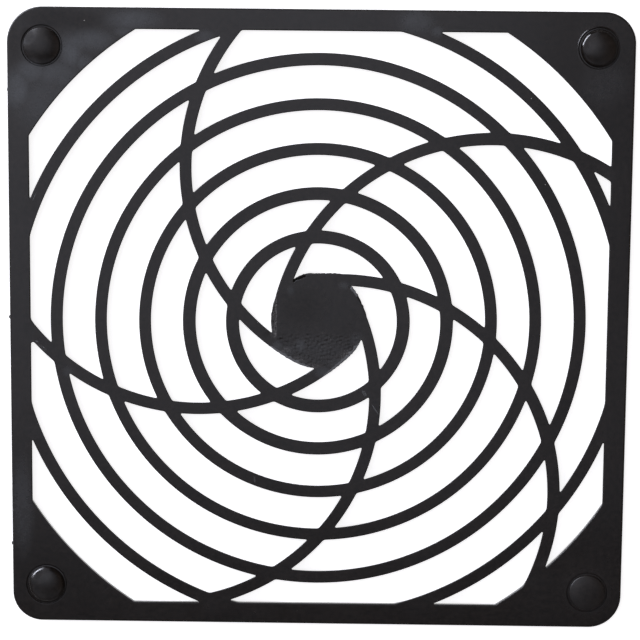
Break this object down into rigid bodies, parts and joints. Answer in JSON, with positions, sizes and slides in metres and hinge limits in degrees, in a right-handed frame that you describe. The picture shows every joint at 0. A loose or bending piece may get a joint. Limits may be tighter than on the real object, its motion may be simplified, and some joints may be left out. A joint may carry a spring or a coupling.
{
  "type": "plastic fan grille",
  "caption": "Flat square fan guard moulded in black plastic: concentric ring ribs crossed by curved spokes from a flat hub, in a thin frame with a domed boss at each corner.",
  "frame": {"origin": "middle of the frame's back face, where the grille seats on a fan", "axes": "+Z out of the face, on the side of the domed bosses; +X and +Y along the frame's sides; the gate marks are on the -X edge"},
  "size_m": [0.1192, 0.119, 0.0029],
  "materials": {
    "black_plastic": "moulded, satin, with hazy handling marks"
  },
  "bodies": {
    "root": {"grille": "black_plastic"}
  },
  "joints": []
}
